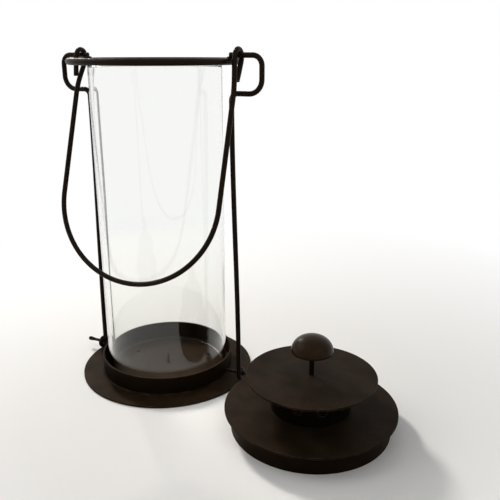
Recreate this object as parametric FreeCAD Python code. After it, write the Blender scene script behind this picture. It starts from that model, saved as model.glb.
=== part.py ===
import FreeCAD, Part
import math
import os

os.makedirs("parts", exist_ok=True)
V = FreeCAD.Vector

# Driving sizes in mm. Origin: centre of the base plate's underside, +X along the bail's hinge line,
# +Y to the back, +Z up.
SHEET = 1.5            # sheet of the collar, brim and top plate
PLATE_T = 1.8          # base plate
PLATE_OUT = 1.9        # shank's foot out to the plate's edge
GLASS_R = 60.0
GLASS_WALL = 3.0
GLASS_H = 298.0
GLASS_LIP = 1.2        # rounding of the fire-polished rim
GLASS_PLAY = 4.2       # room between the glass and the collar
COLLAR_H = 17.6        # above the plate
AIR_HOLE_D = 4.0       # three air holes in the plate
AIR_HOLE_IN = 12.0     # from the glass's inner wall in to the holes
SPIKE_D = 3.0
SPIKE_H = 12.0
SPIKE_POINT_D = 0.5
WIRE_D = 4.6           # uprights and bail
RING_WIRE_D = 5.8
SKIRT_R = 69.3         # outer radius of the lid's skirt
SKIRT_H = 17.1
SKIRT_WALL = 1.2
SKIRT_PLAY = 3.1       # room between the skirt and the hoop
HOOP_ROOM = 0.7        # hoop above the glass's rim
BRIM_ROOM = 0.5        # between the brim's edge and the ends of the ears' upper legs
PIN_D = 3.0
PIN_PLAY = 0.05        # pin in its hole in the collar
PIN_TIP_D = 4.4        # rounded tip
PIN_TAPER_L = 9.0      # length over which the pin swells to its tip
PIN_HEAD_D = 6.0       # flat head inside the collar
PIN_HEAD_T = 1.2
EYE_CLEARANCE = 0.35   # play of the lower eye round its pin
EYE_ROOM = 0.4         # lower eye above the plate
EYE_MOUTH = 28.0       # half the gap in the lower eye, in degrees
FOOT_OUT = 18.0        # collar's wall out to the shank's foot
PIN_PROUD = 19.3       # shank's foot out to the pin's tip
HEAD_OUT = 1.1         # hoop's centre-line out to the shank's head
EAR_WIDTH = 28.6       # shank's head out to the ear's outer side
EAR_HEIGHT = 31.6      # between the ear's lower and upper leg
EAR_LOW_BEND = 12.0
EAR_TOP_BEND = 8.5
EAR_ROOT_BEND = 6.0
BAIL_SIDE_ROOM = 2.3   # between the bail's leg and the shank beside it
BAIL_DROP = 206.8      # hinge line to the bottom of the bow
BAIL_BOW = 75.8        # height of the half-elliptic bow
BAIL_EYE_R = 6.25      # centre-line radius at the top of the eye
BAIL_EYE_L = 22.0      # where the wire's end meets the leg
BAIL_END_GAP = 0.35    # between the wire's end and the leg
BAIL_PLAY = 0.15       # play of the eye on the ear
BAIL_TOUCH = 0.3       # room between the resting bail and the glass
CHIMNEY_R = 34.5
CHIMNEY_H = 28.4
CHIMNEY_WALL = 1.2
VENT_D = 9.0
VENT_COUNT = 10
TOP_R = 56.0
STEM_D = 4.2
STEM_H = 21.5
KNOB_R = 17.9
KNOB_H = 15.0
KNOB_EDGE = 1.6
KNOB_BORE = 6.0        # how deep the stem goes into the knob
KNOB_PLAY = 0.05
LID_ROOM = 3.8         # between the lid's skirt and the nearer pin's tip
LID_BEARING = -13.5    # where the lid stands on the table, degrees from +X

COLLAR_R = GLASS_R + GLASS_PLAY + SHEET
RING_R = SKIRT_R + SKIRT_PLAY + RING_WIRE_D / 2
RING_Z = PLATE_T + GLASS_H + HOOP_ROOM + RING_WIRE_D / 2
BRIM_R = RING_R - BRIM_ROOM
UPRIGHT_HEAD_X = RING_R + HEAD_OUT
UPRIGHT_FOOT_X = COLLAR_R + FOOT_OUT
PLATE_R = UPRIGHT_FOOT_X + PLATE_OUT
EAR_REACH_X = UPRIGHT_HEAD_X + EAR_WIDTH
BAIL_HALF = UPRIGHT_HEAD_X + WIRE_D + BAIL_SIDE_ROOM
PIN_TIP_R = UPRIGHT_FOOT_X + PIN_PROUD
PIN_Z = PLATE_T + EYE_ROOM + WIRE_D + PIN_D / 2 + 2 * EYE_CLEARANCE
AIR_HOLE_AT = GLASS_R - GLASS_WALL - AIR_HOLE_IN
LID_DISTANCE = PIN_TIP_R + LID_ROOM + SKIRT_R
LID_X = LID_DISTANCE * math.cos(math.radians(LID_BEARING))
LID_Y = LID_DISTANCE * math.sin(math.radians(LID_BEARING))
WIRE_R = WIRE_D / 2
RING_TOP = RING_Z + RING_WIRE_D / 2
HINGE_Z = RING_TOP + WIRE_R
LOW_LEG_Z = HINGE_Z - EAR_HEIGHT
SPUN = V(0, 0, 1)


def save(name, shape):
    if len(shape.Solids) == 1:
        shape = shape.Solids[0]
    shape.exportStep("parts/" + name + ".step")
    print(name, shape.ShapeType, round(shape.Volume, 1), shape.isValid())


def tube(outer, inner, z0, height):
    body = Part.makeCylinder(outer, height, V(0, 0, z0))
    return body.cut(Part.makeCylinder(inner, height + 2, V(0, 0, z0 - 1)))


def line(a, b):
    return Part.LineSegment(a, b).toShape()


def arc(a, m, b):
    return Part.Arc(a, m, b).toShape()


def bend(centre, radius, start, end):
    """Arc in the plane y = centre.y, angles in degrees from +X towards +Z."""
    pts = []
    for deg in (start, (start + end) / 2, end):
        t = math.radians(deg)
        pts.append(centre + V(radius * math.cos(t), 0, radius * math.sin(t)))
    return arc(*pts)


def rod(edges, diameter):
    path = Part.Wire(edges)
    first = path.OrderedEdges[0]
    start = first.valueAt(first.FirstParameter)
    along = first.tangentAt(first.FirstParameter)
    if first.Orientation == "Reversed":
        start = first.valueAt(first.LastParameter)
        along = first.tangentAt(first.LastParameter)
    ring = Part.Wire(Part.makeCircle(diameter / 2, start, along))
    return path.makePipeShell([ring], True, False)


# Base plate with its three air holes.
plate = Part.makeCylinder(PLATE_R, PLATE_T)
for deg in (50, 170, 290):
    t = math.radians(deg)
    at = V(AIR_HOLE_AT * math.cos(t), AIR_HOLE_AT * math.sin(t), -1)
    plate = plate.cut(Part.makeCylinder(AIR_HOLE_D / 2, PLATE_T + 2, at))
save("base_plate", plate)

# Collar, with one hole on each side for the hinge pins.
collar = tube(COLLAR_R, COLLAR_R - SHEET, PLATE_T, COLLAR_H)
drill = Part.makeCylinder(PIN_D / 2 + PIN_PLAY, 3 * COLLAR_R, V(-1.5 * COLLAR_R, 0, PIN_Z), V(1, 0, 0))
save("glass_collar", collar.cut(drill))

# Candle spike: a round stub drawn out to a point.
spike_profile = Part.makePolygon([
    V(0, 0, PLATE_T),
    V(SPIKE_D / 2, 0, PLATE_T),
    V(SPIKE_D / 2, 0, PLATE_T + SPIKE_H * 0.35),
    V(SPIKE_POINT_D / 2, 0, PLATE_T + SPIKE_H),
    V(0, 0, PLATE_T + SPIKE_H),
    V(0, 0, PLATE_T),
])
save("candle_spike", Part.Face(spike_profile).revolve(V(0, 0, 0), SPUN, 360))

# Hinge pins: flat head inside the collar, round shank through its wall, swollen tip. The collar's wall
# is curved, so the flat head bears on it with its rim only and stands a little clear at the shank.
collar_inner_r = COLLAR_R - SHEET
inside = math.sqrt(collar_inner_r ** 2 - (PIN_HEAD_D / 2) ** 2) - PIN_PLAY
tip_r = PIN_TIP_D / 2
pin_outline = Part.Wire([
    line(V(inside - PIN_HEAD_T, 0, PIN_Z), V(inside - PIN_HEAD_T, 0, PIN_Z + PIN_HEAD_D / 2)),
    line(V(inside - PIN_HEAD_T, 0, PIN_Z + PIN_HEAD_D / 2), V(inside, 0, PIN_Z + PIN_HEAD_D / 2)),
    line(V(inside, 0, PIN_Z + PIN_HEAD_D / 2), V(inside, 0, PIN_Z + PIN_D / 2)),
    line(V(inside, 0, PIN_Z + PIN_D / 2), V(PIN_TIP_R - PIN_TAPER_L, 0, PIN_Z + PIN_D / 2)),
    line(V(PIN_TIP_R - PIN_TAPER_L, 0, PIN_Z + PIN_D / 2), V(PIN_TIP_R - tip_r, 0, PIN_Z + tip_r)),
    arc(V(PIN_TIP_R - tip_r, 0, PIN_Z + tip_r),
        V(PIN_TIP_R - tip_r + tip_r * math.sin(math.pi / 4), 0, PIN_Z + tip_r * math.cos(math.pi / 4)),
        V(PIN_TIP_R, 0, PIN_Z)),
    line(V(PIN_TIP_R, 0, PIN_Z), V(inside - PIN_HEAD_T, 0, PIN_Z)),
])
pin = Part.Face(pin_outline).revolve(V(0, 0, PIN_Z), V(1, 0, 0), 360)
save("right_hinge_pin", pin)
left_pin = pin.copy()
left_pin.rotate(V(0, 0, 0), SPUN, 180)
save("left_hinge_pin", left_pin)

# Glass cylinder with rounded rims.
glass = tube(GLASS_R, GLASS_R - GLASS_WALL, PLATE_T, GLASS_H)
rims = []
for edge in glass.Edges:
    flat = abs(edge.BoundBox.ZLength) < 0.01
    top = abs(edge.BoundBox.ZMax - PLATE_T - GLASS_H) < 0.01
    if flat and top:
        rims.append(edge)
save("glass_cylinder", glass.makeFillet(GLASS_LIP, rims))

# Top ring.
save("top_ring", Part.makeTorus(RING_R, RING_WIRE_D / 2, V(0, 0, RING_Z)))

# Right upright: eye round the pin, shank leaning slightly inwards, D-shaped ear, upper leg over the ring.
eye_r = PIN_D / 2 + EYE_CLEARANCE + WIRE_R
eye_z = PIN_Z - EYE_CLEARANCE
eye_mid = V(UPRIGHT_FOOT_X, 0, eye_z)
mouth = math.radians(EYE_MOUTH)
foot = eye_mid + V(0, -eye_r, 0)
eye_side = arc(eye_mid + V(0, -eye_r * math.cos(mouth), eye_r * math.sin(mouth)),
               eye_mid + V(0, eye_r, 0), eye_mid + V(0, 0, -eye_r))
eye_back = arc(eye_mid + V(0, 0, -eye_r),
               eye_mid + V(0, -eye_r * math.sin(math.pi / 4), -eye_r * math.cos(math.pi / 4)), foot)
root_x = UPRIGHT_HEAD_X
root_z = LOW_LEG_Z - EAR_ROOT_BEND
shank = Part.BSplineCurve()
shank.interpolate(Points=[foot, V(root_x, 0, root_z)], InitialTangent=V(0, 0, 1), FinalTangent=V(0, 0, 1))
ear = [
    bend(V(root_x + EAR_ROOT_BEND, 0, root_z), EAR_ROOT_BEND, 180, 90),
    line(V(root_x + EAR_ROOT_BEND, 0, LOW_LEG_Z), V(EAR_REACH_X - EAR_LOW_BEND, 0, LOW_LEG_Z)),
    bend(V(EAR_REACH_X - EAR_LOW_BEND, 0, LOW_LEG_Z + EAR_LOW_BEND), EAR_LOW_BEND, -90, 0),
    line(V(EAR_REACH_X, 0, LOW_LEG_Z + EAR_LOW_BEND), V(EAR_REACH_X, 0, HINGE_Z - EAR_TOP_BEND)),
    bend(V(EAR_REACH_X - EAR_TOP_BEND, 0, HINGE_Z - EAR_TOP_BEND), EAR_TOP_BEND, 0, 90),
    line(V(EAR_REACH_X - EAR_TOP_BEND, 0, HINGE_Z), V(RING_R, 0, HINGE_Z)),
]
upright = rod([eye_back, shank.toShape()] + ear, WIRE_D)
upright = upright.fuse(rod([eye_side], WIRE_D)).removeSplitter()
save("right_upright", upright)
left = upright.copy()
left.rotate(V(0, 0, 0), SPUN, 180)
save("left_upright", left)

# Bail: both eyes, straight legs and the half-elliptic bow, leaning on the front of the glass.
lean = math.asin((GLASS_R + WIRE_R + BAIL_TOUCH) / BAIL_DROP)
DOWN = V(0, -math.sin(lean), -math.cos(lean))
BACK = V(0, math.cos(lean), -math.sin(lean))


def on_bail(x, u, s):
    return V(x, 0, HINGE_Z) + BACK * u + DOWN * s


eye_drop = BAIL_EYE_R - WIRE_D - BAIL_PLAY    # eye centre below the hinge line
half = BAIL_EYE_R


def bail_eye(x, side):
    """Open teardrop from the leg round over the ear and down again to the leg."""
    pts = [
        on_bail(x, 0, BAIL_EYE_L + 14),
        on_bail(x, -0.15 * half * side, BAIL_EYE_L + 4),
        on_bail(x, -0.50 * half * side, BAIL_EYE_L - 5.5),
        on_bail(x, -0.90 * half * side, eye_drop + 5.5),
        on_bail(x, -half * side, eye_drop),
        on_bail(x, -0.72 * half * side, eye_drop - 0.70 * half),
        on_bail(x, 0, eye_drop - half),
        on_bail(x, 0.72 * half * side, eye_drop - 0.70 * half),
        on_bail(x, half * side, eye_drop),
        on_bail(x, 0.92 * half * side, eye_drop + 5.5),
        on_bail(x, (WIRE_D + BAIL_END_GAP - 0.28 * half) * side, BAIL_EYE_L - 1),
    ]
    curve = Part.BSplineCurve()
    close = (DOWN * 5 - BACK * 1.2 * side)
    curve.interpolate(Points=pts, InitialTangent=DOWN * -10, FinalTangent=close)
    return curve.toShape()


bow_s = BAIL_DROP - BAIL_BOW
right_corner = on_bail(BAIL_HALF, 0, bow_s)
left_corner = on_bail(-BAIL_HALF, 0, bow_s)
bottom = on_bail(0, 0, BAIL_DROP)
long_end, short_end = right_corner, bottom
if BAIL_BOW > BAIL_HALF:
    long_end, short_end = bottom, right_corner
bow = Part.Ellipse(long_end, short_end, on_bail(0, 0, bow_s))
bow_edge = Part.Edge(bow, bow.parameter(right_corner), bow.parameter(right_corner) + math.pi)
if bow_edge.CenterOfMass.z > right_corner.z:
    bow_edge = Part.Edge(bow, bow.parameter(left_corner), bow.parameter(left_corner) + math.pi)
bail_path = [
    bail_eye(BAIL_HALF, 1),
    line(on_bail(BAIL_HALF, 0, BAIL_EYE_L + 14), right_corner),
    bow_edge,
    line(left_corner, on_bail(-BAIL_HALF, 0, BAIL_EYE_L + 14)),
    bail_eye(-BAIL_HALF, -1),
]
bail = rod(Part.__sortEdges__(bail_path), WIRE_D)
save("bail_handle", bail)

# Lid, standing on the table on its skirt.
LID = V(LID_X, LID_Y, 0)
brim_top = SKIRT_H + SHEET
deck_z = brim_top + CHIMNEY_H
deck_top = deck_z + SHEET


def save_lid(name, shape):
    shape.translate(LID)
    save(name, shape)


save_lid("lid_skirt", tube(SKIRT_R, SKIRT_R - SKIRT_WALL, 0, SKIRT_H))
save_lid("lid_brim", tube(BRIM_R, CHIMNEY_R - CHIMNEY_WALL, SKIRT_H, SHEET))
chimney = tube(CHIMNEY_R, CHIMNEY_R - CHIMNEY_WALL, brim_top, CHIMNEY_H)
for k in range(VENT_COUNT):
    t = 2 * math.pi * (k + 0.5) / VENT_COUNT
    way = V(math.cos(t), math.sin(t), 0)
    hole = Part.makeCylinder(VENT_D / 2, 6, way * (CHIMNEY_R - 4) + V(0, 0, brim_top + CHIMNEY_H / 2), way)
    chimney = chimney.cut(hole)
save_lid("lid_chimney", chimney)
deck = Part.makeCylinder(TOP_R, SHEET, V(0, 0, deck_z))
save_lid("lid_top_plate", deck)
save_lid("knob_stem", Part.makeCylinder(STEM_D / 2, STEM_H + KNOB_BORE, V(0, 0, deck_top)))

# Knob: a flattened dome with a flat underside, bored for the stem.
knob_z = deck_top + STEM_H
dome = Part.makeSphere(KNOB_R, V(0, 0, 0), SPUN, 0, 90, 360)
squash = FreeCAD.Matrix()
squash.scale(1, 1, KNOB_H / KNOB_R)
dome = dome.transformGeometry(squash)
rim = [e for e in dome.Edges if abs(e.BoundBox.ZMax) < 0.01 and e.Length > KNOB_R]
dome = dome.makeFillet(KNOB_EDGE, rim)
dome.translate(V(0, 0, knob_z))
bore = Part.makeCylinder(STEM_D / 2 + KNOB_PLAY, KNOB_BORE, V(0, 0, knob_z))
save_lid("knob", dome.cut(bore))
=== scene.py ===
# %% [markdown]
# # A candle lantern with its lid set down beside it
# The real lantern is sheet steel, bent wire and one glass cylinder. The measured solids of every piece
# come in first as a fixed frame, so nothing has to be guessed or fitted by eye. What is left to do here
# is what a bench drawing can't give: worn paint, clear glass, welds, light and a camera. Everything could
# be modelled again from nothing, but a piece whose solid is already true only needs a finish.

# %% Load the measured lantern
import bpy
import bmesh
import math
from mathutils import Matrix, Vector


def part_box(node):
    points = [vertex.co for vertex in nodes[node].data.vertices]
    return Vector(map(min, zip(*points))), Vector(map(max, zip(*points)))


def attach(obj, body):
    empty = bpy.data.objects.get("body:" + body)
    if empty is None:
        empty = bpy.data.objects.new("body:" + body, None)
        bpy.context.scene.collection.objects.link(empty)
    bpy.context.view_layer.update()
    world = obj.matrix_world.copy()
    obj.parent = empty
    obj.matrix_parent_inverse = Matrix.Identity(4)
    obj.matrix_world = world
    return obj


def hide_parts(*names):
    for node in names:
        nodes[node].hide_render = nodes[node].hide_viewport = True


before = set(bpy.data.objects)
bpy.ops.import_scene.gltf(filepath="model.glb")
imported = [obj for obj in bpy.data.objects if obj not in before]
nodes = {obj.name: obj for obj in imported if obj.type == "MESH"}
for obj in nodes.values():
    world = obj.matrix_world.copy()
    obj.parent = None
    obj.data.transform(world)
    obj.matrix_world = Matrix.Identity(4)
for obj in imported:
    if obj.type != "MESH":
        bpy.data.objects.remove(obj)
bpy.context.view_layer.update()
print("pieces in the frame:", sorted(nodes))

# %% [markdown]
# ## The camera
# The photograph was taken from close by, a little to the right of the bail's hinge line and level with the
# top of the lantern, looking down. A camera could be turned until the picture looks right. Here its place,
# its lens and its tilt were worked out from the edges of the round sheets, which show the angle from
# which a circle is seen, and it is written down once as numbers.

# %% Set the camera
TURN = math.radians(25.08)
TILT = math.radians(17.66)
EYE = Vector((0.3240, -0.4915, 0.3105))
RIGHT = Vector((math.cos(TURN), math.sin(TURN), 0))
AHEAD = Vector((-math.sin(TURN), math.cos(TURN), 0))

look = AHEAD * math.cos(TILT) + Vector((0, 0, -math.sin(TILT)))
camera = bpy.data.objects.new("photo_camera", bpy.data.cameras.new("photo_camera"))
bpy.context.collection.objects.link(camera)
camera.data.sensor_width = 36.0
camera.data.lens = 619.7 * 36.0 / 500.0
camera.data.clip_start = 0.01
camera.location = EYE
camera.rotation_mode = "QUATERNION"
camera.rotation_quaternion = look.to_track_quat("-Z", "Y")
bpy.context.scene.camera = camera
print("lens", round(camera.data.lens, 2), "mm, camera at", [round(v, 3) for v in EYE])

# %% [markdown]
# ## Helpers for modelling by hand
# Blender's operators act on whatever is selected, and after loading all the measured pieces are. So each
# new piece starts by deselecting everything. Faces are then picked in code by where they are, as a hand
# would click on them.


# %% Selecting and finishing
def nothing_selected():
    if bpy.context.object and bpy.context.object.mode != "OBJECT":
        bpy.ops.object.mode_set(mode="OBJECT")
    bpy.ops.object.select_all(action="DESELECT")


def named(name):
    piece = bpy.context.object
    piece.name = name
    piece.data.name = name
    return piece


def pick(piece, wanted, kind="FACE"):
    """Selects the faces or edges of a piece in edit mode for which wanted(middle, normal) is true."""
    bpy.ops.mesh.select_mode(type=kind)
    bpy.ops.mesh.select_all(action="DESELECT")
    mesh = bmesh.from_edit_mesh(piece.data)
    found = 0
    if kind == "FACE":
        for face in mesh.faces:
            if wanted(face.calc_center_median(), face.normal):
                face.select_set(True)
                found += 1
    else:
        for edge in mesh.edges:
            if wanted((edge.verts[0].co + edge.verts[1].co) / 2, None):
                edge.select_set(True)
                found += 1
    mesh.select_flush_mode()
    bmesh.update_edit_mesh(piece.data)
    return found


def at_home(piece):
    """Moves a piece's place into its mesh, so that its own origin is the lantern's."""
    nothing_selected()
    piece.select_set(True)
    bpy.context.view_layer.objects.active = piece
    bpy.ops.object.transform_apply(location=True, rotation=True, scale=True)
    return piece


def apply_all(piece):
    nothing_selected()
    piece.select_set(True)
    bpy.context.view_layer.objects.active = piece
    for modifier in list(piece.modifiers):
        bpy.ops.object.modifier_apply(modifier=modifier.name)
    print(piece.name, "has", len(piece.data.polygons), "faces")
    return piece


# %% [markdown]
# ## The glass
# A lantern glass is drawn tube, cut to length and held in a flame until its rims melt round. A solid
# cylinder with a hole cut through it would give sharp rims. An open tube that is thickened inwards and
# then bevelled at its four rim edges gives the flame-rounded look, and keeps the outer size exact. Two cuts
# close to the rims keep the long wall straight: without them the rounding of the rims is shaded along the
# whole wall, which then bends the picture behind it as a lens would.

# %% Model the glass cylinder
GLASS_LOW, GLASS_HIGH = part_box("glass_cylinder")
glass_height = GLASS_HIGH[2] - GLASS_LOW[2]
nothing_selected()
bpy.ops.mesh.primitive_cylinder_add(vertices=160, radius=0.060, depth=glass_height, end_fill_type="NOTHING",
                                    location=(0, 0, GLASS_LOW[2] + glass_height / 2))
lamp_glass = at_home(named("lamp_glass"))
bpy.ops.object.mode_set(mode="EDIT")
for rim_cut in (GLASS_LOW[2] + 0.0025, GLASS_HIGH[2] - 0.0025):
    bpy.ops.mesh.select_all(action="SELECT")
    bpy.ops.mesh.bisect(plane_co=(0, 0, rim_cut), plane_no=(0, 0, 1))
bpy.ops.object.mode_set(mode="OBJECT")
thick = lamp_glass.modifiers.new("wall", "SOLIDIFY")
thick.thickness = 0.003
thick.offset = -1.0
rim = lamp_glass.modifiers.new("fired rims", "BEVEL")
rim.width = 0.0012
rim.segments = 4
rim.limit_method = "ANGLE"
rim.angle_limit = math.radians(60)
apply_all(lamp_glass)
bpy.ops.object.shade_smooth_by_angle(angle=math.radians(50))
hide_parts("glass_cylinder")
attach(lamp_glass, "glass")
print("glass", [round(v, 4) for v in lamp_glass.dimensions])

# %% [markdown]
# ## The knob
# The knob is a flattened, turned dome with a plain underside, riveted on a thin stem. It could be half of
# a squashed sphere, but the shop would turn it: so a disc is extruded upwards ring by ring, each ring
# pulled in along a quarter of an ellipse, as the tool would cut it. The underside is dished a little and
# bored for the stem.

# %% Turn the knob
KNOB_LOW, KNOB_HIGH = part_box("knob")
knob_middle = ((KNOB_LOW[0] + KNOB_HIGH[0]) / 2, (KNOB_LOW[1] + KNOB_HIGH[1]) / 2)
knob_radius = 0.0179
knob_height = KNOB_HIGH[2] - KNOB_LOW[2]
nothing_selected()
bpy.ops.mesh.primitive_circle_add(vertices=96, radius=knob_radius * 0.955, fill_type="NGON",
                                  location=(knob_middle[0], knob_middle[1], KNOB_LOW[2]))
turned_knob = at_home(named("turned_knob"))
bpy.ops.object.mode_set(mode="EDIT")
bpy.ops.mesh.select_all(action="SELECT")
profile = [(0.955, 0.0), (0.985, 0.020), (0.998, 0.060), (1.0, 0.11)]
for step in range(1, 12):
    angle = math.radians(step * 7.6)
    profile.append((math.cos(angle), 0.11 + 0.89 * math.sin(angle)))
profile.append((0.06, 0.9985))
for (r0, z0), (r1, z1) in zip(profile, profile[1:]):
    bpy.ops.mesh.extrude_region_move(
        TRANSFORM_OT_translate={"value": (0, 0, (z1 - z0) * knob_height)})
    bpy.ops.transform.resize(value=(r1 / r0, r1 / r0, 1),
                             center_override=(knob_middle[0], knob_middle[1], KNOB_LOW[2] + z1 * knob_height))
bpy.ops.mesh.select_all(action="SELECT")
bpy.ops.mesh.normals_make_consistent(inside=False)

# %% [markdown]
# Extruding moved the first face away, so the dome is open below. Its edge is closed again, and the new face
# is inset twice: once for the shallow dish and once for the bore that the stem goes into.

# %% Close, dish and bore the underside
pick(turned_knob, lambda middle, n: middle.z < KNOB_LOW[2] + 1e-6, "EDGE")
bpy.ops.mesh.edge_face_add()
bpy.ops.mesh.select_mode(type="FACE")
bpy.ops.mesh.inset(thickness=0.0030, depth=0)
bpy.ops.mesh.inset(thickness=0.0115, depth=-0.0008)
bpy.ops.transform.resize(value=(0.00222 / 0.0026, 0.00222 / 0.0026, 1),
                         center_override=(knob_middle[0], knob_middle[1], KNOB_LOW[2]))
bpy.ops.mesh.extrude_region_move(TRANSFORM_OT_translate={"value": (0, 0, 0.0048)})
bpy.ops.mesh.select_all(action="SELECT")
bpy.ops.mesh.remove_doubles(threshold=1e-6)
bpy.ops.mesh.normals_make_consistent(inside=False)
bpy.ops.object.mode_set(mode="OBJECT")
bpy.ops.object.shade_smooth_by_angle(angle=math.radians(40))
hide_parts("knob")
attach(turned_knob, "lid")
print("knob", [round(v, 4) for v in turned_knob.dimensions], "faces", len(turned_knob.data.polygons))

# %% [markdown]
# ## The welds
# Each ear's upper leg lies across the hoop and is joined to it by a small bead of weld. A ball would look
# like a ball, so a round is flattened, its two sides are drawn out along the hoop, and a crater is
# pressed into its top, which is how a tacked joint looks. One bead is modelled and copied to the other side.

# %% Lay the weld beads on the hoop
HOOP_LOW, HOOP_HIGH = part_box("top_ring")
hoop_radius = HOOP_HIGH[0] - 0.0029
nothing_selected()
bpy.ops.mesh.primitive_uv_sphere_add(segments=32, ring_count=16, radius=0.0031,
                                     location=(hoop_radius - 0.0004, 0, HOOP_HIGH[2] - 0.0004))
right_weld = at_home(named("right_weld"))
bpy.ops.object.mode_set(mode="EDIT")
bpy.ops.mesh.select_all(action="SELECT")
bpy.ops.transform.resize(value=(0.85, 1.35, 0.62),
                         center_override=(hoop_radius - 0.0004, 0, HOOP_HIGH[2] - 0.0004))
pick(right_weld, lambda m, n: n.z > 0.93)
bpy.ops.mesh.inset(thickness=0.0003, depth=-0.0002)
pick(right_weld, lambda m, n: n.z < -0.2 and abs(m.y) > 0.0016)
bpy.ops.transform.translate(value=(0, 0, -0.0007))
bpy.ops.object.mode_set(mode="OBJECT")
puddle = right_weld.modifiers.new("puddle", "SUBSURF")
puddle.levels = 1
puddle.render_levels = 1
apply_all(right_weld)
bpy.ops.object.shade_smooth()
print("bead", [round(v * 1000, 2) for v in right_weld.dimensions], "mm")

# %% [markdown]
# The left joint is the right one turned half round the lantern's axis, as the two ears are. A copy with its
# own mesh is turned and then moved home, so that both beads keep the lantern's origin.

# %% Copy the bead to the left side
nothing_selected()
right_weld.select_set(True)
bpy.context.view_layer.objects.active = right_weld
bpy.ops.object.duplicate(linked=False)
left_weld = named("left_weld")
left_weld.rotation_euler = (0, 0, math.pi)
at_home(left_weld)
for bead in (right_weld, left_weld):
    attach(bead, "base")
print("beads at x", [round(bead.data.vertices[0].co.x, 4) for bead in (right_weld, left_weld)])

# %% [markdown]
# ## The solder run at the collar's foot
# The collar is a strip bent round and soldered to the plate, which leaves a thin uneven run of metal in the
# corner. A torus would be as round inside as out. A small hollow-sided profile spun once round the axis
# gives the right corner: one corner of a little square is pulled in, and only the outline is spun, because
# a filled profile would leave a wall inside the run at every step.

# %% Run the solder round the collar
PLATE_LOW, PLATE_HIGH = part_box("base_plate")
COLLAR_LOW, COLLAR_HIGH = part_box("glass_collar")
collar_radius = COLLAR_HIGH[0]
plate_top = PLATE_HIGH[2]
nothing_selected()
bpy.ops.mesh.primitive_plane_add(size=0.0013, location=(collar_radius + 0.00060, 0, plate_top + 0.00064),
                                 rotation=(math.pi / 2, 0, 0))
solder_run = at_home(named("solder_run"))
bpy.ops.object.mode_set(mode="EDIT")
corner = Vector((collar_radius + 0.00125, 0, plate_top + 0.00129))
bpy.ops.mesh.select_mode(type="VERT")
bpy.ops.mesh.select_all(action="DESELECT")
mesh = bmesh.from_edit_mesh(solder_run.data)
for point in mesh.verts:
    if (point.co - corner).length < 0.0004:
        point.select_set(True)
bmesh.update_edit_mesh(solder_run.data)
bpy.ops.transform.translate(value=(-0.00082, 0, -0.00082))
bpy.ops.mesh.select_all(action="SELECT")
bpy.ops.mesh.delete(type="ONLY_FACE")
bpy.ops.mesh.select_all(action="SELECT")
bpy.ops.mesh.spin(steps=180, angle=math.tau, center=(0, 0, 0), axis=(0, 0, 1), dupli=False)
bpy.ops.mesh.select_all(action="SELECT")
bpy.ops.mesh.remove_doubles(threshold=1e-6)
bpy.ops.mesh.normals_make_consistent(inside=False)
bpy.ops.object.mode_set(mode="OBJECT")
bpy.ops.object.shade_smooth_by_angle(angle=math.radians(35))
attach(solder_run, "base")
print("solder run", [round(v, 4) for v in solder_run.dimensions])

# %% [markdown]
# ## The paint
# All the metal wears one thin coat of brown-black paint over steel. In real life no two places of it
# match: the sprayed film has a fine skin, it is thinner and warmer brown where hands and heat have worked
# on it, rust freckles come through, dust settles on what faces up and edges rub bright. A single colour
# would look like plastic. So the finish is one recipe with a few amounts to set for each piece.


# %% Small node helpers
def new_material(name):
    material = bpy.data.materials.new(name)
    material.use_nodes = True
    tree = material.node_tree
    shader = tree.nodes["Principled BSDF"]
    return material, tree, shader


def noise(tree, where, scale, detail=3.0, rough=0.55):
    texture = tree.nodes.new("ShaderNodeTexNoise")
    texture.inputs["Scale"].default_value = scale
    texture.inputs["Detail"].default_value = detail
    texture.inputs["Roughness"].default_value = rough
    tree.links.new(where, texture.inputs["Vector"])
    return texture.outputs["Fac"]


def between(tree, value, low, high, to_low=0.0, to_high=1.0):
    """Maps the range low..high of a value to to_low..to_high, and holds it there."""
    node = tree.nodes.new("ShaderNodeMapRange")
    node.inputs["From Min"].default_value = low
    node.inputs["From Max"].default_value = high
    node.inputs["To Min"].default_value = to_low
    node.inputs["To Max"].default_value = to_high
    tree.links.new(value, node.inputs["Value"])
    return node.outputs["Result"]


def times(tree, a, b):
    node = tree.nodes.new("ShaderNodeMath")
    node.operation = "MULTIPLY"
    for socket, value in zip(node.inputs, (a, b)):
        if isinstance(value, float):
            socket.default_value = value
        else:
            tree.links.new(value, socket)
    return node.outputs[0]


def blend_colour(tree, amount, under, over):
    """Lays one colour over another by an amount that varies over the surface."""
    node = tree.nodes.new("ShaderNodeMix")
    node.data_type = "RGBA"
    tree.links.new(amount, node.inputs[0])
    for socket, value in ((node.inputs[6], under), (node.inputs[7], over)):
        if isinstance(value, tuple):
            socket.default_value = (*value, 1.0)
        else:
            tree.links.new(value, socket)
    return node.outputs[2]


# %% [markdown]
# Edges come first, because that is where paint rubs thin. The wear could be painted by hand, but then it
# would have to be done again after each change. The bevel node compares the surface with a slightly rounded
# copy of itself: where the two differ there is an edge, and a patchy noise keeps the wear from running evenly.


# %% Find the rubbed edges
def rounded_edge(tree):
    edge = tree.nodes.new("ShaderNodeBevel")
    edge.samples = 6
    edge.inputs["Radius"].default_value = 0.0007
    return edge.outputs["Normal"]


def rubbed_edges(tree, where, rounded):
    surface = tree.nodes.new("ShaderNodeNewGeometry")
    match = tree.nodes.new("ShaderNodeVectorMath")
    match.operation = "DOT_PRODUCT"
    tree.links.new(rounded, match.inputs[0])
    tree.links.new(surface.outputs["Normal"], match.inputs[1])
    rubbed = between(tree, match.outputs["Value"], 0.995, 0.86, 0.0, 1.0)
    patchy = between(tree, noise(tree, where, 75.0, 4.0), 0.40, 0.62, 0.15, 1.0)
    return times(tree, rubbed, patchy)


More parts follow.
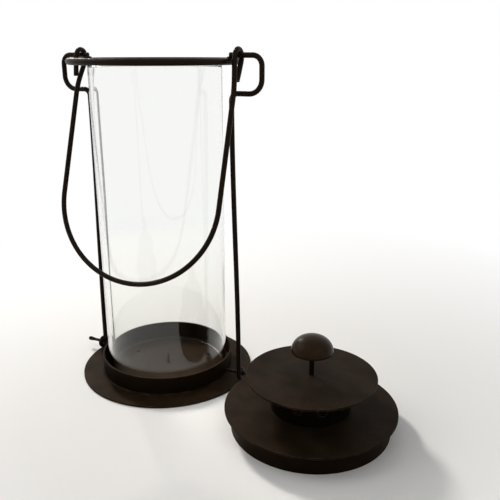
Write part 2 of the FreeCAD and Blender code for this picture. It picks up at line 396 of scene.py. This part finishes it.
# %% [markdown]
# Dust lies on what faces up and never on what hangs down. The surface's own direction says which is which,
# and a fine cloudy noise leaves some of the sheet wiped clean.


# %% Let the dust settle
def settled_dust(tree, where, place, dust):
    facing = tree.nodes.new("ShaderNodeSeparateXYZ")
    tree.links.new(place.outputs["Normal"], facing.inputs[0])
    upward = between(tree, facing.outputs["Z"], 0.35, 0.95)
    cloudy = between(tree, noise(tree, where, 45.0, 8.0, 0.65), 0.30, 0.75, 0.25, 1.0)
    return times(tree, times(tree, upward, cloudy), dust)


# %% [markdown]
# A sprayed film has a fine grain, and thin sheet under it is never quite flat. Modelling either would take
# millions of faces, so both are bumps: a fine one for the grain and a broad one for the dents.


# %% Give the film its skin
def paint_skin(tree, where, rounded, skin):
    grain = tree.nodes.new("ShaderNodeBump")
    grain.inputs["Strength"].default_value = 0.22 * skin
    grain.inputs["Distance"].default_value = 0.00025
    tree.links.new(noise(tree, where, 900.0, 2.0), grain.inputs["Height"])
    tree.links.new(rounded, grain.inputs["Normal"])
    dents = tree.nodes.new("ShaderNodeBump")
    dents.inputs["Strength"].default_value = 0.35 * skin
    dents.inputs["Distance"].default_value = 0.0012
    tree.links.new(noise(tree, where, 26.0, 2.0), dents.inputs["Height"])
    tree.links.new(grain.outputs["Normal"], dents.inputs["Normal"])
    return dents.outputs["Normal"]


# %% [markdown]
# The recipe lays these over each other as on the real lantern: the cloudy coat, marks drawn along a wire,
# rust freckles, rubbed edges and dust last. Object coordinates keep the pattern fixed to the piece when
# the bail swings or the lid is lifted.


# %% The worn paint recipe
def worn_paint(name, deep, warm, dust=0.25, rust=0.5, skin=1.0, drawn=None, gloss=(0.44, 0.62), shine=0.035):
    material, tree, shader = new_material(name)
    place = tree.nodes.new("ShaderNodeTexCoord")
    where = place.outputs["Object"]
    rounded = rounded_edge(tree)
    clouds = between(tree, noise(tree, where, 22.0, 5.0, 0.6), 0.35, 0.68)
    colour = blend_colour(tree, clouds, deep, warm)
    if drawn:
        stretch = tree.nodes.new("ShaderNodeMapping")
        stretch.inputs["Scale"].default_value = drawn
        tree.links.new(where, stretch.inputs["Vector"])
        streaks = between(tree, noise(tree, stretch.outputs["Vector"], 60.0, 3.0), 0.45, 0.75, 0.0, 0.5)
        colour = blend_colour(tree, streaks, colour, tuple(v * 1.7 for v in warm))
    freckles = between(tree, noise(tree, where, 150.0, 6.0, 0.7), 0.64, 0.74, 0.0, rust)
    colour = blend_colour(tree, freckles, colour, (0.062, 0.026, 0.011))
    colour = blend_colour(tree, rubbed_edges(tree, where, rounded), colour, (0.082, 0.054, 0.032))
    colour = blend_colour(tree, settled_dust(tree, where, place, dust), colour, (0.20, 0.140, 0.088))
    tree.links.new(colour, shader.inputs["Base Color"])
    sheen = between(tree, noise(tree, where, 38.0, 5.0), 0.3, 0.7, *gloss)
    tree.links.new(sheen, shader.inputs["Roughness"])
    shader.inputs["Metallic"].default_value = 0.0
    shader.inputs["Specular IOR Level"].default_value = shine
    shader.inputs["Specular Tint"].default_value = (1.0, 0.80, 0.60, 1.0)
    tree.links.new(paint_skin(tree, where, rounded, skin), shader.inputs["Normal"])
    print("mixed", name)
    return material


# %% [markdown]
# ## Finishes for each piece
# The flat sheets have caught the most dust, the wires the least. The chimney is sooty and nearly black,
# and the knob, which is the part that is touched, is rubbed to a warmer brown.

# %% Mix and lay on the paints
PLATE_PAINT = worn_paint("plate_paint", (0.0072, 0.0037, 0.0016), (0.0187, 0.0101, 0.0045), dust=0.08)
# The collar wears the plate's brown-black paint made about half as light. The paint is real, and the halving is
# painted shade, because the collar's front faces away from the back lamp. The solder run shares this colour.
COLLAR_SHADE_PAINT = worn_paint("collar_paint", (0.0036, 0.0019, 0.0008), (0.0090, 0.0049, 0.0022), dust=0.06)
# The wires, the hoop with its welds and the handle wear the same paint at about half the plate's lightness. The
# brown-black is the paint, and the halving is painted shade for thin parts that stand in shade.
WIRE_SHADE_PAINT = worn_paint("wire_paint", (0.0035, 0.0016, 0.0009), (0.0086, 0.0042, 0.0022), dust=0.04, rust=0.4,
                        skin=0.5, drawn=(1.0, 1.0, 0.05), gloss=(0.34, 0.50), shine=0.08)
HOOP_SHADE_PAINT = worn_paint("hoop_shade_paint", (0.0039, 0.0019, 0.0010), (0.0101, 0.0050, 0.0027), dust=0.06, rust=0.45,
                        skin=0.6, gloss=(0.34, 0.50), shine=0.08)
BAIL_SHADE_PAINT = worn_paint("bail_paint", (0.0042, 0.0021, 0.0012), (0.0108, 0.0055, 0.0030), dust=0.04, rust=0.4,
                        skin=0.5, gloss=(0.34, 0.50), shine=0.08)
LID_PAINT = worn_paint("lid_paint", (0.0048, 0.0026, 0.0012), (0.0130, 0.0073, 0.0035), dust=0.07)
SOOTY_PAINT = worn_paint("sooty_paint", (0.0018, 0.0012, 0.0008), (0.0043, 0.0026, 0.0017), dust=0.03, rust=0.2)
KNOB_PAINT = worn_paint("knob_paint", (0.0065, 0.0032, 0.0012), (0.0202, 0.0105, 0.0042), dust=0.02, rust=0.6,
                        gloss=(0.24, 0.36), shine=0.10)

finishes = {
    "base_plate": PLATE_PAINT, "glass_collar": COLLAR_SHADE_PAINT, "candle_spike": WIRE_SHADE_PAINT,
    "left_hinge_pin": WIRE_SHADE_PAINT, "right_hinge_pin": WIRE_SHADE_PAINT,
    "left_upright": WIRE_SHADE_PAINT, "right_upright": WIRE_SHADE_PAINT, "top_ring": HOOP_SHADE_PAINT, "bail_handle": BAIL_SHADE_PAINT,
    "lid_skirt": LID_PAINT, "lid_brim": LID_PAINT, "lid_chimney": SOOTY_PAINT, "lid_top_plate": LID_PAINT,
    "knob_stem": WIRE_SHADE_PAINT,
}


def paint(piece, material):
    piece.data.materials.clear()
    piece.data.materials.append(material)


for name, material in finishes.items():
    paint(nodes[name], material)
paint(turned_knob, KNOB_PAINT)
paint(solder_run, COLLAR_SHADE_PAINT)
for bead in (right_weld, left_weld):
    paint(bead, HOOP_SHADE_PAINT)
print("painted", len(finishes) + 4, "pieces")

# %% [markdown]
# ## Clear glass
# Drawn glass is never perfectly even: its wall waves a little, and a used lantern carries a light film of
# candle smoke and finger marks. A waviness in the bump bends what is seen through it, and a faint uneven
# roughness stands for the film. Its colour goes straight on the shader, so that it survives export.

# %% Mix the glass
clear_glass, tree, shader = new_material("clear_glass")
place = tree.nodes.new("ShaderNodeTexCoord")
shader.inputs["Base Color"].default_value = (0.958, 0.963, 0.950, 1.0)
shader.inputs["Transmission Weight"].default_value = 1.0
shader.inputs["IOR"].default_value = 1.45
film = between(tree, noise(tree, place.outputs["Object"], 16.0, 6.0, 0.65), 0.56, 0.84, 0.0, 0.12)
tree.links.new(film, shader.inputs["Roughness"])
stretch = tree.nodes.new("ShaderNodeMapping")
stretch.inputs["Scale"].default_value = (1.0, 1.0, 0.22)
tree.links.new(place.outputs["Object"], stretch.inputs["Vector"])
wave = tree.nodes.new("ShaderNodeBump")
wave.inputs["Strength"].default_value = 0.25
wave.inputs["Distance"].default_value = 0.0008
tree.links.new(noise(tree, stretch.outputs["Vector"], 34.0, 1.0), wave.inputs["Height"])
tree.links.new(wave.outputs["Normal"], shader.inputs["Normal"])
paint(lamp_glass, clear_glass)
print("glass bends light by", round(shader.inputs["IOR"].default_value, 2))

# %% [markdown]
# ## Table and light
# The photograph has a plain white ground, and a pale floor carries the lantern's soft shadow. A floor could
# be a shallow box or a curved sheet. One flat plane is enough, because nothing is seen from below.

# %% Lay the floor
nothing_selected()
bpy.ops.mesh.primitive_plane_add(size=12, location=(0, 0, 0))
pale_floor = named("pale_floor")
floor_paint, tree, shader = new_material("pale_floor")
shader.inputs["Base Color"].default_value = (0.91, 0.91, 0.905, 1.0)
shader.inputs["Roughness"].default_value = 0.9
shader.inputs["Specular IOR Level"].default_value = 0.1
paint(pale_floor, floor_paint)
print("floor", [round(v, 1) for v in pale_floor.dimensions])

# %% [markdown]
# A sheet of paper under the lantern would run up behind it, so that no edge shows. The same is done in the
# floor's finish: near the lantern it takes the shadow, and further out it turns into plain white, only for
# what the eye, the glass and the polished metal see of it.

# %% Let the floor run out to white
place = tree.nodes.new("ShaderNodeTexCoord")
reach = tree.nodes.new("ShaderNodeVectorMath")
reach.operation = "DISTANCE"
reach.inputs[1].default_value = (0.085, -0.020, 0)
tree.links.new(place.outputs["Object"], reach.inputs[0])
fade = between(tree, reach.outputs["Value"], 0.19, 0.62)


def only_seen(tree):
    """Is 1 for what the eye sees straight, in a gloss or through glass, and 0 for what lights a surface."""
    path = tree.nodes.new("ShaderNodeLightPath")
    seen = path.outputs["Is Camera Ray"]
    for kind in ("Is Glossy Ray", "Is Transmission Ray"):
        either = tree.nodes.new("ShaderNodeMath")
        either.operation = "MAXIMUM"
        tree.links.new(seen, either.inputs[0])
        tree.links.new(path.outputs[kind], either.inputs[1])
        seen = either.outputs[0]
    unscattered = tree.nodes.new("ShaderNodeMath")
    unscattered.operation = "LESS_THAN"
    unscattered.inputs[1].default_value = 0.5
    tree.links.new(path.outputs["Diffuse Depth"], unscattered.inputs[0])
    return times(tree, seen, unscattered.outputs[0])


white = tree.nodes.new("ShaderNodeEmission")
white.inputs["Color"].default_value = (1, 1, 1, 1)
white.inputs["Strength"].default_value = 1.0
blend = tree.nodes.new("ShaderNodeMixShader")
tree.links.new(times(tree, fade, only_seen(tree)), blend.inputs[0])
tree.links.new(shader.outputs[0], blend.inputs[1])
tree.links.new(white.outputs[0], blend.inputs[2])
tree.links.new(blend.outputs[0], tree.nodes["Material Output"].inputs["Surface"])
print("floor turns white between 0.19 and 0.62 m from the lantern")

# %% [markdown]
# The world around the lantern has two jobs. Seen straight, in a gloss or through the glass it is white, as a
# studio wall would be. As a light it is weaker, so that the lamps decide where the shadows fall.

# %% White to the eye, weaker as a light
world = bpy.data.worlds.new("studio")
bpy.context.scene.world = world
world.use_nodes = True
tree = world.node_tree
tree.nodes.clear()
out = tree.nodes.new("ShaderNodeOutputWorld")
seen = tree.nodes.new("ShaderNodeBackground")
seen.inputs["Color"].default_value = (1, 1, 1, 1)
seen.inputs["Strength"].default_value = 1.0
lit = tree.nodes.new("ShaderNodeBackground")
lit.inputs["Color"].default_value = (1, 0.99, 0.975, 1)
lit.inputs["Strength"].default_value = 0.38
mix = tree.nodes.new("ShaderNodeMixShader")
tree.links.new(only_seen(tree), mix.inputs[0])
tree.links.new(lit.outputs[0], mix.inputs[1])
tree.links.new(seen.outputs[0], mix.inputs[2])
tree.links.new(mix.outputs[0], out.inputs["Surface"])
print("world lights at", round(lit.inputs["Strength"].default_value, 2))


# %% [markdown]
# The knob's shadow on the lid shows that the light comes low from behind, on the left. So the main lamp hangs
# there. Two weaker ones at the left and in front keep the dark metal readable. Small lamps give crisp shadows
# and large ones soft shadows, which is why each has its own size.

# %% Hang the lamps
def soft_lamp(name, where, aim, size, power, colour):
    lamp = bpy.data.objects.new(name, bpy.data.lights.new(name, "AREA"))
    bpy.context.collection.objects.link(lamp)
    lamp.data.size = size
    lamp.data.energy = power
    lamp.data.color = colour
    lamp.location = where
    lamp.rotation_mode = "QUATERNION"
    lamp.rotation_quaternion = (aim - where).to_track_quat("-Z", "Y")
    return lamp


middle = Vector((0.05, -0.02, 0.10))
low_back_left = AHEAD * 0.742 - RIGHT * 0.429 + Vector((0, 0, 0.515))
lamps = [
    soft_lamp("back_lamp", middle + low_back_left * 1.6, middle, 0.22, 20.0, (1.0, 0.955, 0.90)),
    soft_lamp("back_glint", middle + low_back_left * 1.6, middle, 0.22, 6.0, (1.0, 0.955, 0.90)),
    soft_lamp("left_lamp", middle - RIGHT * 1.2 + AHEAD * 0.1 + Vector((0, 0, 1.1)), middle, 0.9, 4.2,
              (1.0, 0.97, 0.93)),
    soft_lamp("front_lamp", RIGHT * 0.9 + AHEAD * -1.3 + Vector((0, 0, 1.3)), middle, 1.4, 2.6, (1.0, 0.98, 0.95)),
]

# %% [markdown]
# Clear glass hardly holds light back, and the photograph shows the lid lit through it. A path tracer finds
# such light only by luck, so the glass would throw a shadow as if it were card. The lamps are told to pass
# it, and what they send through it the slow way is left out, or it would count twice. The back light is in
# two lamps for the same reason. One lights the surfaces and throws the shadows, and a weaker one is seen
# only as a glint, so that the curved glass doesn't gather a bright pool on the table.

# %% Let the lamps shine through the glass
lamps[0].visible_glossy = False
lamps[1].visible_diffuse = False
see_through = bpy.data.collections.new("see_through")
see_through.objects.link(lamp_glass)
for lamp in lamps:
    lamp.light_linking.blocker_collection = see_through
    lamp.visible_transmission = False
see_through.collection_objects[0].light_linking.link_state = "EXCLUDE"
print("lamps that pass the glass:", len(lamps))

# %% [markdown]
# ## Colour settings
# The plain Standard transform shows each colour as it is written.

# %% Set the colour transform
bpy.context.scene.view_settings.view_transform = "Standard"
